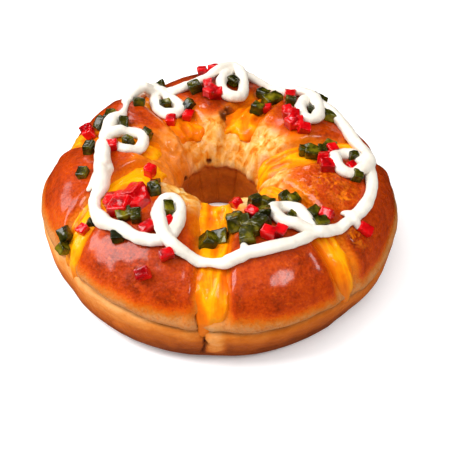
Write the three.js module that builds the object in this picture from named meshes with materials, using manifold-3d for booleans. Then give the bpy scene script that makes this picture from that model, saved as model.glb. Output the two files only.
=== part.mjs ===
// A roscon de reyes: a tall brioche ring that rises as seven buns. A band of egg custard is
// baked into each furrow between them. Diced candied cherry and citron lie on the crown, and
// one closed line of white icing runs round it in seven loops.
//
// Millimetres, +Z up. The ring's axis is Z, it stands on z = 0 and its front is towards -Y.
// A place on the ring is [angle, radius]: degrees counter-clockwise from +X, and the distance
// from the axis. Each piece is trimmed to stand clear of the pieces that were laid before it.

import * as THREE from "three";
import { mergeVertices } from "three/addons/utils/BufferGeometryUtils.js";
import Module from "manifold-3d";

const wasm = await Module();
wasm.setup();

// ---- Driving dimensions -------------------------------------------------------------------

const BELLY_RADIUS = 127; // the widest part of the ring's side
const BELLY_HEIGHT = 27;
const CROWN_RADIUS = 66; // the highest line of the ring
const CROWN_HEIGHT = 73;
const HOLE_RADIUS = 25.5; // the lip where the crown turns down into the hole
const LIP_HEIGHT = 36;
const LIP_OVERHANG = 1.5; // how far the lip stands over the straight wall below it
const WALL_LEAN = 3.5; // how much narrower the hole is at its foot
const FOOT_RADIUS = 113; // the outer edge of the flat underside
const FOOT_CHAMFER = 3; // the corner between the hole's wall and the underside
const SHOULDER_FULLNESS = 0.6; // 0.55 would make the shoulders elliptic, and more is squarer
const CREASE_DEPTH = 1.6; // a fold that runs round the side, over the belly

const FURROW_DEPTH = 9;
const FURROW_REACH = 11.5; // half its width, as it has a broad bed and steep sides
const BUN_DIP = 5; // each bun also slopes away to its furrows, over a longer reach
const BUN_DIP_REACH = 30;

// Where the ring's side stands further in: about which angle, over what span and how far.
const FLAT_SIDES = [
  { angle: 34, span: 26, depth: 6.5 },
  { angle: 66, span: 12, depth: 6 },
  { angle: 121, span: 14, depth: 5 },
  { angle: 157, span: 16, depth: 5 },
  { angle: 222, span: 26, depth: 3 },
];

const CUSTARD_HALF_WIDTH = 14;
const CUSTARD_FILL = 5; // depth of custard in the middle of a furrow

const ICING_WIDTH = 8;
const ICING_THICKNESS = 6;
const ICING_LIFT = 0.9; // how far its flat underside is above the crust's own curve
const ICING_STACK = 3.5; // how much higher it runs where it crosses over itself

const DICE_EDGE = 8;
const DICE_HEIGHT = 6.5; // what stands out of the glaze
const DICE_SPREAD = 0.22; // how far an edge may differ, as a share of it
const DICE_LIFT = 0.7; // as for the icing

const CLEARANCE = 0.3; // between any two pieces

// The furrows, each with its angle at the hole and its angle at the belly.
const FURROWS = [
  { atHole: 4, atBelly: 13 },
  { atHole: 72, atBelly: 60 },
  { atHole: 117, atBelly: 129 },
  { atHole: 165, atBelly: 160 },
  { atHole: 188, atBelly: 219 },
  { atHole: 266, atBelly: 268 },
  { atHole: 322, atBelly: 314 },
];

// ---- Small tools ---------------------------------------------------------------------------

const { degToRad, radToDeg, lerp } = THREE.MathUtils;

// The point at a place on the ring.
function pointAt([angle, radius], z = 0) {
  const turn = degToRad(angle);
  return new THREE.Vector3(radius * Math.cos(turn), radius * Math.sin(turn), z);
}

// A repeatable stream of numbers from -1 to 1.
function seededSwing(seed) {
  let state = seed;
  return () => {
    state = (state * 16807) % 2147483647;
    return (2 * state) / 2147483647 - 1;
  };
}

function solidOf(geometry) {
  const bare = geometry.clone();
  bare.deleteAttribute("normal");
  bare.deleteAttribute("uv");
  const merged = mergeVertices(bare);
  const mesh = new wasm.Mesh({
    numProp: 3,
    vertProperties: new Float32Array(merged.attributes.position.array),
    triVerts: new Uint32Array(merged.index.array),
  });
  return new wasm.Manifold(mesh);
}

function geometryOf(solid) {
  const { vertProperties, triVerts } = solid.getMesh();
  const geometry = new THREE.BufferGeometry();
  geometry.setAttribute("position", new THREE.BufferAttribute(vertProperties, 3));
  geometry.setIndex(new THREE.BufferAttribute(triVerts, 1));
  return geometry;
}

const join = (solids) => solids.reduce((sum, solid) => sum.add(solid));

// Trimming can shave off scraps. The largest body is the piece.
function largestBody(solid) {
  return solid.decompose().reduce((best, body) => (body.volume() > best.volume() ? body : best));
}

// ---- The brioche ring ----------------------------------------------------------------------

const BUN_FACETS = 12; // columns of facets from one furrow to the next
const COLUMN_CROWDING = 0.6; // how much closer together they stand beside a furrow

// A quarter of a full, rounded shoulder. It leaves the first point along the first one's
// upright or level side, and arrives square to that.
function shoulder(from, to, startsUpright) {
  const handle = (start, end, upright) => {
    const reach = end.clone().sub(start).multiplyScalar(SHOULDER_FULLNESS);
    return upright ? start.clone().setY(start.y + reach.y) : start.clone().setX(start.x + reach.x);
  };
  const leaving = handle(from, to, startsUpright);
  const arriving = handle(to, from, !startsUpright);
  return new THREE.CubicBezierCurve(from, leaving, arriving, to);
}

const belly = new THREE.Vector2(BELLY_RADIUS, BELLY_HEIGHT);
const crown = new THREE.Vector2(CROWN_RADIUS, CROWN_HEIGHT);
const lip = new THREE.Vector2(HOLE_RADIUS, LIP_HEIGHT);
const wallTop = lip.clone().add(new THREE.Vector2(LIP_OVERHANG, -LIP_OVERHANG));
const wallFoot = new THREE.Vector2(wallTop.x - WALL_LEAN, FOOT_CHAMFER);
const innerFoot = new THREE.Vector2(wallFoot.x + FOOT_CHAMFER, 0);
const outerFoot = new THREE.Vector2(FOOT_RADIUS, 0);

// The ring's section, counter-clockwise from the belly, in (radius, height). shares are the
// places of its stations along a stretch, and relief is how fully the furrows show where the
// stretch starts and ends.
const even = (count) => Array.from({ length: count }, (_, k) => k / count);
const CREASE_SHARE = 0.13;
const BELLY_RELIEF = 0.2;
const OUTER_SHOULDER = {
  curve: shoulder(belly, crown, true),
  shares: [0, 0.1, CREASE_SHARE, 0.16, 0.28, 0.42, 0.56, 0.7, 0.85],
  relief: [BELLY_RELIEF, 1],
};
const INNER_SHOULDER = { curve: shoulder(crown, lip, false), shares: even(6), relief: [1, 0.3] };
const SECTION = [
  OUTER_SHOULDER,
  INNER_SHOULDER,
  { curve: new THREE.LineCurve(wallTop, wallFoot), shares: [0, 1], relief: [0.1, 0] },
  { curve: new THREE.LineCurve(innerFoot, outerFoot), shares: even(1), relief: [0, 0] },
  { curve: shoulder(outerFoot, belly, false), shares: even(4), relief: [0, BELLY_RELIEF] },
];

function stationOn({ curve, relief }, share) {
  const tangent = curve.getTangent(share);
  return {
    point: curve.getPoint(share),
    normal: new THREE.Vector2(tangent.y, -tangent.x),
    relief: lerp(relief[0], relief[1], share),
  };
}

const sectionStations = SECTION.flatMap((stretch) =>
  stretch.shares.map((share) => {
    const station = stationOn(stretch, share);
    if (share === CREASE_SHARE) {
      station.point.addScaledVector(station.normal, -CREASE_DEPTH);
    }
    return station;
  }),
);

// A furrow leans a little, from its angle at the hole to its angle at the belly.
function furrowAngle({ atHole, atBelly }, radius) {
  return THREE.MathUtils.mapLinear(radius, HOLE_RADIUS, BELLY_RADIUS, atHole, atBelly);
}

// The angle of a column of facets at a radius. The columns run along the furrows.
function columnAngle(column, radius) {
  const bun = Math.floor(column / BUN_FACETS);
  const share = (column % BUN_FACETS) / BUN_FACETS;
  const start = furrowAngle(FURROWS[bun], radius);
  const end = furrowAngle(FURROWS[(bun + 1) % FURROWS.length], radius);
  const crowded = share - (COLUMN_CROWDING * Math.sin(2 * Math.PI * share)) / (2 * Math.PI);
  return start + ((end - start + 360) % 360) * crowded;
}

function distanceToFurrow(angle, radius) {
  const distances = FURROWS.map((furrow) => {
    const turn = degToRad(angle - furrowAngle(furrow, radius));
    return 2 * radius * Math.abs(Math.sin(turn / 2));
  });
  return Math.min(...distances);
}

const fade = (distance, reach, squareness) => Math.exp(-((distance / reach) ** squareness));

// No two buns rise alike, and the ring isn't a true circle.
function unevenness(angle) {
  return 1.8 * Math.sin(degToRad(2 * angle + 80)) + 1.2 * Math.sin(degToRad(5 * angle + 20));
}

// How far the side stands in, which is not at all on the crown and at the foot.
function flatness(angle, { x, y }) {
  const outwards = Math.max(0, (x - CROWN_RADIUS) / (BELLY_RADIUS - CROWN_RADIUS));
  const share = outwards * Math.min(1, y / BELLY_HEIGHT);
  return FLAT_SIDES.reduce((sum, flat) => {
    const away = ((angle - flat.angle + 540) % 360) - 180;
    return sum + share * flat.depth * fade(away, flat.span, 2);
  }, 0);
}

// The point of the loaf at an angle and a station of its section.
function loafPoint(angle, { point, normal, relief }, grow) {
  const distance = distanceToFurrow(angle, point.x);
  const furrow = FURROW_DEPTH * fade(distance, FURROW_REACH, 4);
  const dip = BUN_DIP * fade(distance, BUN_DIP_REACH, 2);
  const out = relief * (unevenness(angle) - furrow - dip) - flatness(angle, point) + grow;
  return pointAt([angle, point.x + normal.x * out], point.y + normal.y * out);
}

function loafGeometry(grow) {
  const columns = FURROWS.length * BUN_FACETS;
  const stations = sectionStations.length;
  const ring = new THREE.TorusGeometry(1, 0.5, stations, columns);
  const { position, uv } = ring.attributes;
  for (let i = 0; i < position.count; i++) {
    const column = Math.round(uv.getX(i) * columns) % columns;
    const station = sectionStations[Math.round(uv.getY(i) * stations) % stations];
    const { x, y, z } = loafPoint(columnAngle(column, station.point.x), station, grow);
    position.setXYZ(i, x, y, z);
  }
  return ring;
}

const loaf = solidOf(loafGeometry(0));
const loafKeepOut = solidOf(loafGeometry(CLEARANCE));

// ---- The custard bands ---------------------------------------------------------------------

const CUSTARD_FACETS = { along: 10, across: 3 };
const CUSTARD_HOLE_END = 0.75; // how far it has run down the inner shoulder
const CUSTARD_BELLY_END = 0.88; // and down the outer one
const CUSTARD_TAPER = 0.4; // how much narrower a band is at its ends
const CUSTARD_CROWNING = 1; // how much lower it is at its edges

// A station of the section on a furrow's way over the crown, from -1 at the end of the custard
// in the hole to 1 at its end on the belly.
function crossing(along) {
  return along < 0
    ? stationOn(INNER_SHOULDER, -along * CUSTARD_HOLE_END)
    : stationOn(OUTER_SHOULDER, 1 - along * CUSTARD_BELLY_END);
}

// A slab that follows the furrow, with its underside inside the loaf, so that the loaf trims
// it. Its two ends dive under the crust.
function custardGeometry(furrow, grow) {
  const slab = new THREE.BoxGeometry(2, 2, 2, CUSTARD_FACETS.along, CUSTARD_FACETS.across, 1);
  const { position } = slab.attributes;
  for (let i = 0; i < position.count; i++) {
    const along = position.getX(i);
    const across = position.getY(i);
    const isTop = position.getZ(i) > 0;
    const { point, normal, relief } = crossing(along);
    const halfWidth = CUSTARD_HALF_WIDTH * (1 - CUSTARD_TAPER * along ** 4) + grow;
    const middle = furrowAngle(furrow, point.x);
    const angle = middle + radToDeg((across * halfWidth) / point.x);
    const dip = relief * (unevenness(middle) - FURROW_DEPTH - BUN_DIP);
    const bed = dip - flatness(middle, point);
    const fill = CUSTARD_FILL * (1 - 1.5 * along ** 10) - CUSTARD_CROWNING * across ** 2;
    const out = bed + (isTop ? fill + grow : -CUSTARD_FILL);
    const { x, y, z } = pointAt([angle, point.x + normal.x * out], point.y + normal.y * out);
    position.setXYZ(i, x, y, z);
  }
  return slab;
}

// Bands that meet near the hole are trimmed by each other too.
let bakedKeepOut = loafKeepOut;
const custardBands = FURROWS.map((furrow) => {
  const band = largestBody(solidOf(custardGeometry(furrow, 0)).subtract(bakedKeepOut));
  bakedKeepOut = bakedKeepOut.add(solidOf(custardGeometry(furrow, CLEARANCE)));
  return band;
});

// ---- Laying things on the ring --------------------------------------------------------------

const DROP_HEIGHT = 150;
const NORMAL_SPAN = 3; // how far apart the surface is felt for its slope

const baked = new THREE.Group();
for (const solid of [loaf, ...custardBands]) {
  baked.add(new THREE.Mesh(geometryOf(solid)));
}

const probe = new THREE.Raycaster();

function surfacePoint(x, y) {
  probe.set(new THREE.Vector3(x, y, DROP_HEIGHT), new THREE.Vector3(0, 0, -1));
  return probe.intersectObject(baked)[0].point;
}

// The surface under (x, y), and its direction there.
function landing(x, y) {
  const point = surfacePoint(x, y);
  const alongX = surfacePoint(x + NORMAL_SPAN, y).sub(surfacePoint(x - NORMAL_SPAN, y));
  const alongY = surfacePoint(x, y + NORMAL_SPAN).sub(surfacePoint(x, y - NORMAL_SPAN));
  return { point, normal: alongX.cross(alongY).normalize() };
}

// ---- The icing line -------------------------------------------------------------------------

// The line is piped counter-clockwise. At each loop it crosses itself at the neck, and the loop
// lies towards the hole, as far as its tip. From there the line runs by way of the places in
// next, where a third number thickens or thins it.
const LOOPS = [
  {
    neck: [246, 85],
    tip: [234, 55],
    width: 16,
    next: [[253, 89], [261, 91], [268, 92], [275, 91], [282, 89], [290, 90], [300, 92]],
  },
  {
    neck: [311, 91],
    tip: [308, 60],
    width: 22,
    next: [[316, 96], [322, 99], [329, 102], [338, 105], [347, 105]],
  },
  {
    neck: [357, 101],
    tip: [355, 80],
    width: 28,
    next: [[7, 101], [14, 98], [21, 97], [28, 96], [36, 95]],
  },
  {
    neck: [46, 96],
    tip: [29, 74],
    width: 15,
    next: [[54, 98], [60, 97, 0.8], [67, 97, 0.8], [76, 99, 0.8]],
  },
  {
    neck: [84, 103],
    tip: [83, 66],
    width: 19,
    next: [[92, 93, 0.8], [98, 87, 0.8], [105, 83, 0.8], [112, 84]],
  },
  {
    neck: [121, 91],
    tip: [121, 62],
    width: 20,
    next: [
      [121, 100, 1.2],
      [126, 105, 1.4],
      [132, 101, 1.3],
      [139, 91, 0.7],
      [147, 83, 0.7],
      [154, 86],
    ],
  },
  {
    neck: [166, 83],
    tip: [164, 56],
    width: 30,
    next: [
      [174, 82],
      [182, 81, 1.3],
      [190, 80, 1.5],
      [197, 85, 1.2],
      [204, 91],
      [212, 95],
      [219, 95, 1.1],
      [226, 92],
      [236, 92],
    ],
  },
];

const LOOP_SHARES = [0.4, 0.6, 0.8]; // the places that shape each side of a loop
const ICING_SIDES = 6;
const ICING_STEPS = 2; // facets from one of the line's places to the next
const NECK_STEP = ICING_STEPS * (LOOP_SHARES.length + 1); // from a tip to its neck

// A loop's side, from near its neck to near its tip: a teardrop, round at the tip.
function loopSide({ neck, tip, width }, side) {
  const start = pointAt(neck, 1);
  const axis = pointAt(tip, 1).sub(start);
  const sideways = new THREE.Vector3(-axis.y, axis.x, 0).normalize();
  return LOOP_SHARES.map((share) => {
    const along = (1 - Math.cos(Math.PI * share)) / 2;
    const across = Math.sin(Math.PI * share) * Math.sin((Math.PI / 2) * share) ** 0.7;
    return start
      .clone()
      .addScaledVector(axis, along)
      .addScaledVector(sideways, (side * across * width) / 2);
  });
}

// The whole closed line seen from above, from tip to tip, with its relative thickness as z. It
// leaves a loop by one side and enters the next by the other.
const pipedPoints = LOOPS.map((loop, k) => {
  const following = LOOPS[(k + 1) % LOOPS.length];
  return [
    pointAt(loop.tip, 1),
    ...loopSide(loop, 1).reverse(),
    pointAt(loop.neck, 1),
    ...loop.next.map(([angle, radius, thickness = 1]) => pointAt([angle, radius], thickness)),
    pointAt(following.neck, 1),
    ...loopSide(following, -1),
  ];
});

// Where the rope of icing lies at each step, clear of what it lies on.
const icingStops = new THREE.CatmullRomCurve3(pipedPoints.flat(), true)
  .getPoints(ICING_STEPS * pipedPoints.flat().length)
  .slice(0, -1)
  .map(({ x, y, z }) => ({ ...landing(x, y), thickness: z }));

const icingStop = (k) => icingStops[(k + icingStops.length) % icingStops.length];

// The rope between two tips, flat underneath. It starts at the given step, and it leaves its
// loop over the line that it came in by.
function icingGeometry(first, steps, grow) {
  const rope = new THREE.CylinderGeometry(1, 1, steps, ICING_SIDES, steps);
  rope.rotateY(Math.PI / ICING_SIDES);
  const { position } = rope.attributes;
  const flatSide = Math.cos(Math.PI / ICING_SIDES);
  for (let i = 0; i < position.count; i++) {
    const step = Math.round(position.getY(i) + steps / 2);
    const stack = ICING_STACK * Math.max(0, 1 - ((step - NECK_STEP) / 3) ** 2);
    const { point, normal, thickness } = icingStop(first + step);
    const ahead = icingStop(first + step + 1).point;
    const tangent = ahead.clone().sub(icingStop(first + step - 1).point);
    const sideways = normal.clone().cross(tangent).normalize();
    const halfWidth = (ICING_WIDTH * thickness) / 2 + grow;
    const halfThickness = (ICING_THICKNESS * thickness ** 0.5) / 2 + grow;
    const height =
      halfThickness * (1 + position.getZ(i) / flatSide) + ICING_LIFT + stack - grow;
    const { x, y, z } = point
      .clone()
      .addScaledVector(sideways, -position.getX(i) * halfWidth)
      .addScaledVector(normal, height);
    position.setXYZ(i, x, y, z);
  }
  return rope;
}

function pipeIcing(grow) {
  let first = 0;
  const ropes = pipedPoints.map((points) => {
    const steps = ICING_STEPS * points.length;
    const rope = solidOf(icingGeometry(first, steps, grow));
    first += steps;
    return rope;
  });
  return join(ropes);
}

const icingLine = largestBody(pipeIcing(0).subtract(bakedKeepOut));

// ---- The candied fruit ----------------------------------------------------------------------

// Each row is one piece of fruit, a lone dice or several stuck together, given by the places
// of its dice.
const CHERRIES = [
  { at: [[211, 80], [214, 67], [218, 81]], edge: 13 },
  { at: [[244, 108]] },
  { at: [[249, 94]] },
  { at: [[236, 83]] },
  { at: [[243, 73]] },
  { at: [[213, 106]] },
  { at: [[157, 104], [160, 99]] },
  { at: [[193, 50]] },
  { at: [[114, 57]] },
  { at: [[127, 58]] },
  { at: [[97, 101], [92, 104]] },
  { at: [[96, 76], [95, 69]] },
  { at: [[42, 67], [38, 71], [37, 65], [32, 61]] },
  { at: [[6, 80], [1, 76], [356, 72], [351, 75]] },
  { at: [[353, 91]] },
  { at: [[288, 43]] },
  { at: [[292, 60]] },
  { at: [[325, 88]] },
  { at: [[293, 81], [298, 82]] },
  { at: [[329, 111]] },
  { at: [[59, 69]] },
];

const CITRONS = [
  { at: [[116, 99]] },
  { at: [[135, 85]] },
  { at: [[122, 76]] },
  { at: [[103, 78]] },
  { at: [[109, 65]] },
  { at: [[153, 95], [150, 90]] },
  { at: [[164, 67]] },
  { at: [[152, 58]] },
  { at: [[175, 91]] },
  { at: [[189, 94]] },
  { at: [[213, 52], [219, 56]] },
  { at: [[228, 80], [223, 83]] },
  { at: [[238, 64]] },
  { at: [[208, 115]] },
  { at: [[211, 118]] },
  { at: [[262, 73], [267, 70], [271, 65], [276, 61]] },
  { at: [[83, 84]] },
  { at: [[67, 84], [62, 79], [60, 85]] },
  { at: [[64, 64]] },
  { at: [[50, 106], [46, 108]] },
  { at: [[36, 84]], edge: 7 },
  { at: [[30, 92]] },
  { at: [[8, 60], [5, 66], [7, 73], [10, 79]] },
  { at: [[0, 93]], edge: 6.5 },
  { at: [[346, 97]] },
  { at: [[298, 51], [304, 55]] },
  { at: [[321, 57], [322, 63]] },
  { at: [[321, 81], [318, 88]] },
  { at: [[311, 72]], edge: 6.5 },
  { at: [[282, 62], [286, 66], [288, 73], [284, 77], [292, 70]] },
];

// A cube cut by hand, flat on the surface.
function diceGeometry(place, edge, swing, grow) {
  const { x, y } = pointAt(place);
  const { point, normal } = landing(x, y);
  const [length, width, height] = [edge, edge, DICE_HEIGHT].map(
    (size) => size * (1 + DICE_SPREAD * swing()) + 2 * grow,
  );
  const lean = DICE_SPREAD * swing();
  const cube = new THREE.BoxGeometry(length, width, height);
  const { position } = cube.attributes;
  for (let i = 0; i < position.count; i++) {
    position.setX(i, position.getX(i) + lean * position.getZ(i));
  }
  const spin = new THREE.Quaternion().setFromAxisAngle(normal, Math.PI * swing());
  const stand = new THREE.Quaternion().setFromUnitVectors(new THREE.Vector3(0, 0, 1), normal);
  cube.applyQuaternion(spin.multiply(stand));
  const centre = point.addScaledVector(normal, height / 2 + DICE_LIFT - grow);
  return cube.translate(centre.x, centre.y, centre.z);
}

function fruitSolid({ at, edge = DICE_EDGE }, seed, grow) {
  const swing = seededSwing(seed);
  return join(at.map((place) => solidOf(diceGeometry(place, edge, swing, grow))));
}

const fruits = [
  ...CHERRIES.map((row) => ({ kind: "cherry", row })),
  ...CITRONS.map((row) => ({ kind: "citron", row })),
];
let keepOut = bakedKeepOut.add(pipeIcing(CLEARANCE));
fruits.forEach((fruit, k) => {
  const seed = 1000 + 77 * k;
  fruit.solid = largestBody(fruitSolid(fruit.row, seed, 0).subtract(keepOut));
  keepOut = keepOut.add(fruitSolid(fruit.row, seed, CLEARANCE));
});

// ---- The object -----------------------------------------------------------------------------

const MATERIALS = {
  crust: new THREE.MeshStandardMaterial({ color: 0xc8641e, roughness: 0.35, metalness: 0 }),
  custard: new THREE.MeshStandardMaterial({ color: 0xffae14, roughness: 0.4, metalness: 0 }),
  icing: new THREE.MeshStandardMaterial({ color: 0xfaf6ea, roughness: 0.45, metalness: 0 }),
  cherry: new THREE.MeshStandardMaterial({ color: 0xc20a18, roughness: 0.2, metalness: 0 }),
  citron: new THREE.MeshStandardMaterial({ color: 0x4a6a12, roughness: 0.25, metalness: 0 }),
};

const roscon = new THREE.Group();

function addPiece(name, solid, material) {
  const mesh = new THREE.Mesh(geometryOf(solid), MATERIALS[material]);
  mesh.name = name;
  roscon.add(mesh);
}

function addPieces(name, solids, material) {
  solids.forEach((solid, k) => {
    addPiece(`${name}_${String(k + 1).padStart(2, "0")}`, solid, material);
  });
}

const fruitOf = (kind) => fruits.filter((fruit) => fruit.kind === kind).map(({ solid }) => solid);

addPiece("brioche_ring", loaf, "crust");
addPieces("custard_band", custardBands, "custard");
addPiece("icing_line", icingLine, "icing");
addPieces("cherry", fruitOf("cherry"), "cherry");
addPieces("citron", fruitOf("citron"), "citron");

export default roscon;
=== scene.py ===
# A roscon de reyes: a brioche ring of seven buns with custard baked into its furrows, diced
# candied fruit on its crown and one looped line of white icing.

import math

import bpy
import numpy as np
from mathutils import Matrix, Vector, noise
from mathutils.geometry import interpolate_bezier


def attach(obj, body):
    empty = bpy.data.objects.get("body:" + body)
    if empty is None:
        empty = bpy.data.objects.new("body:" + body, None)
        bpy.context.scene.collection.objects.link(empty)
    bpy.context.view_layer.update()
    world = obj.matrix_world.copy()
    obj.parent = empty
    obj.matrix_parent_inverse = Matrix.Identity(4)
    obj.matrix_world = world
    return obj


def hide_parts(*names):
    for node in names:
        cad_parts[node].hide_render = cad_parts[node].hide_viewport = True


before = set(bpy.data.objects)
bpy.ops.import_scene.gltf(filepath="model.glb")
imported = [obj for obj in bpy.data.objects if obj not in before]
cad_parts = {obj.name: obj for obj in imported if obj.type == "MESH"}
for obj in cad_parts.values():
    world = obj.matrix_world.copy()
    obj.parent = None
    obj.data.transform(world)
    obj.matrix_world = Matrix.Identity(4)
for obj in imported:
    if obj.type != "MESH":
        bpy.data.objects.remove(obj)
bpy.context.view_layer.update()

scene = bpy.context.scene

# ---- Camera ---------------------------------------------------------------------------------
# It stands in front of the ring and looks down on it at 45 degrees. The film is shifted, so
# that the ring lies a little left of the middle and above it.

CAMERA_PLACE = (0.0, -0.509, 0.539)
CAMERA_TILT = 45
LENS = 79.4
FILM_WIDTH = 36
FILM_SHIFT = (0.0127, -0.0578)

bpy.ops.object.select_all(action="DESELECT")
bpy.ops.object.camera_add(location=CAMERA_PLACE, rotation=(math.radians(90 - CAMERA_TILT), 0, 0))
camera = bpy.context.object
camera.name = "camera"
camera.data.lens = LENS
camera.data.sensor_width = FILM_WIDTH
camera.data.shift_x, camera.data.shift_y = FILM_SHIFT
camera.data.dof.use_dof = False
scene.camera = camera

# ---- Brioche ring ---------------------------------------------------------------------------
# An enriched dough rolled into a ring, snipped so that it rises as seven buns, brushed with egg
# and baked on a tray. The washed tops bake glossy and orange-brown. A fold runs round the side,
# with paler dough over it and tan dough under it, and where it tore in the hole it is crumb.

MM = 0.001

# The angle of each furrow at the hole and at the belly, from the ring's right and anticlockwise.
FURROWS = ((4, 13), (72, 60), (117, 129), (165, 160), (188, 215), (266, 268), (323, 313))
FURROW_DEPTH = 9 * MM
FURROW_WIDTH = 11.5 * MM
BUN_DIP = 5 * MM
BUN_SLOPE = 30 * MM

# The main places of the ring's section, each a radius and a height in millimetres.
BELLY = (127, 27)
CROWN = (66, 73)
WAIST = (25.5, 36)
INNER_FOOT = (23.5, 2.5)
OUTER_FOOT = (113, 0)

HOLE_RADIUS = WAIST[0] * MM
CROWN_RADIUS = CROWN[0] * MM
BELLY_RADIUS = BELLY[0] * MM
BELLY_HEIGHT = BELLY[1] * MM

# Each stretch of the section: the cells along it, how fully the furrows show at its two ends,
# and its four Bezier points.
SECTION = (
    (62, 0.15, 1.0, (BELLY, (127, 54.6), (102.6, 73), CROWN)),
    (48, 1.0, 0.3, (CROWN, (41.7, 73), (25.5, 58.2), WAIST)),
    (20, 0.3, 0.0, (WAIST, (26.5, 27), (25, 14), INNER_FOOT)),
    (14, 0.0, 0.0, ((26, 0), (58, 0), (85, 0), OUTER_FOOT)),
    (24, 0.0, 0.15, (OUTER_FOOT, (121.4, 0), (127, 10.8), BELLY)),
)
COLUMNS = 560


def section_stations():
    """The radius, height, outward direction and relief of each station of the section."""
    rows = []
    for cells, start, end, points in SECTION:
        knots = [Vector((radius, height)) * MM for radius, height in points]
        curve = interpolate_bezier(*knots, cells + 1)[:-1]
        reliefs = np.linspace(start, end, cells + 1)[:-1]
        rows += [(*point.to_2d(), relief) for point, relief in zip(curve, reliefs)]
    rows = np.array(rows)
    tangent = np.roll(rows[:, :2], -1, axis=0) - np.roll(rows[:, :2], 1, axis=0)
    tangent /= np.linalg.norm(tangent, axis=1)[:, None]
    return rows[:, 0], rows[:, 1], tangent[:, 1], -tangent[:, 0], rows[:, 2]


def smoothstep(low, high, value):
    """0 up to the low value and 1 from the high one, with a smooth rise between them."""
    share = np.clip((value - low) / (high - low), 0, 1)
    return share * share * (3 - 2 * share)


def rise(size, low, high):
    """A smooth rise from 0 to 1 between two sizes in millimetres."""
    return smoothstep(low * MM, high * MM, size)


def bell(distance, reach, squareness=2):
    """1 at no distance, and a fall to nothing beyond the reach."""
    return np.exp(-(np.abs(distance / reach) ** squareness))


def turn_between(angle, middle):
    return (angle - middle + 180) % 360 - 180


def facing(angle, middle, span, squareness=2):
    """A mask of the side of the ring at this angle, which fades out over the span."""
    return bell(turn_between(angle, middle), span, squareness)


def spot(places, centre, reach, squareness=2):
    """A mask of what lies near a centre."""
    return bell(np.linalg.norm(places - np.array(centre), axis=1), reach, squareness)


def lumps(places, size, seed):
    """Smooth noise from about -1 to 1, with lumps of that size, at each place."""
    shift = Vector((seed * 3.7, seed * 1.3, seed * 2.1))
    return np.array([noise.noise(Vector(place) / size + shift) for place in places])


def crests(places, size, seed):
    """Sharp crests of 1, with hollows of about -1 between them."""
    return 1 - 2 * np.abs(lumps(places, size, seed))


def layers(places, *rows):
    """Layers of lumps on each other, each by its depth and size in millimetres and its seed."""
    return sum(depth * MM * lumps(places, size * MM, seed) for depth, size, seed in rows)


def vertex_rows(piece, field="co"):
    """The places of a piece's vertices, or their normals, one row for each."""
    rows = np.empty(len(piece.data.vertices) * 3)
    piece.data.vertices.foreach_get(field, rows)
    return rows.reshape(-1, 3)


def move_vertices(piece, places):
    piece.data.vertices.foreach_set("co", places.ravel())
    piece.data.update()


def swell(piece, out):
    """Each vertex moves outwards along its normal, by its own measure."""
    move_vertices(piece, vertex_rows(piece) + vertex_rows(piece, "normal") * out[:, None])


def give_attribute(piece, name, rows):
    """A colour for each vertex that carries three masks."""
    attribute = piece.data.attributes.new(name, "FLOAT_COLOR", "POINT")
    values = np.ones((len(piece.data.vertices), 4), np.float32)
    for k, row in enumerate(rows):
        values[:, k] = row
    attribute.data.foreach_set("color", values.ravel())


def smooth_shading(piece):
    piece.data.polygons.foreach_set("use_smooth", [True] * len(piece.data.polygons))


def sheet_of_cells(columns, rows):
    """A flat sheet that reaches from -1 to 1 both ways."""
    bpy.ops.object.select_all(action="DESELECT")
    bpy.ops.mesh.primitive_grid_add(x_subdivisions=columns, y_subdivisions=rows, size=2)
    return bpy.context.object


def place_on_ring(angle, radius, height=0.0):
    """One place, by its angle and its radius and height in millimetres."""
    turn = math.radians(angle)
    return Vector((radius * math.cos(turn), radius * math.sin(turn), height)) * MM


def places_on_ring(angle, radius, height):
    """Many places, by their angles and their radii and heights in metres."""
    turn = np.radians(angle)
    return np.stack([radius * np.cos(turn), radius * np.sin(turn), height], axis=1)


def furrow_middle(furrow, radius):
    """The angle of a furrow's middle at this radius."""
    at_hole, at_belly = furrow
    return at_hole + (at_belly - at_hole) * (radius - HOLE_RADIUS) / (BELLY_RADIUS - HOLE_RADIUS)


def furrow_distance(angle, radius):
    """How far each place is from the middle of the nearest furrow, with its side as sign."""
    nearest = np.full(len(angle), np.inf)
    for furrow in FURROWS:
        across = 2 * radius * np.sin(np.radians(angle - furrow_middle(furrow, radius)) / 2)
        nearest = np.where(np.abs(across) < np.abs(nearest), across, nearest)
    return nearest


# How the ring departs from a circle: the height of each wave, how many go round and their
# phase. A side of the ring is an angle and the span that it fades out over.
WAVES = ((1.8, 2, 80), (1.2, 5, 20))
LEFT_BULGE = 1.8
LEFT_BULGE_SIDE = (192, 22)

# Where the side stands further in: about which angle, over what span and how far.
FLAT_SIDES = ((34, 26, 6.5), (66, 12, 6), (121, 14, 5), (157, 16, 5), (222, 26, 3))

FRONT_RIM_SIDE = (264, 38)
FRONT_RIM_RISE = 3.8 * MM
FRONT_RIM_RADIUS = 32 * MM
FRONT_RIM_WIDTH = 13 * MM


def unevenness(angle):
    """No two buns rise alike, and the ring isn't a true circle."""
    swing = sum(high * np.sin(np.radians(count * angle + phase)) for high, count, phase in WAVES)
    return (swing + LEFT_BULGE * facing(angle, *LEFT_BULGE_SIDE)) * MM


def flatness(angle, radius, height):
    """How far the side stands in, which is not at all on the crown and at the foot."""
    share = np.clip((radius - CROWN_RADIUS) / (BELLY_RADIUS - CROWN_RADIUS), 0, 1)
    share = share * np.minimum(1, height / BELLY_HEIGHT)
    return share * sum(depth * MM * facing(angle, at, span) for at, span, depth in FLAT_SIDES)


def front_rim(angle, radius):
    """The dough stands higher round the front of the hole."""
    across = bell(radius - FRONT_RIM_RADIUS, FRONT_RIM_WIDTH)
    return FRONT_RIM_RISE * facing(angle, *FRONT_RIM_SIDE) * across


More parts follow.
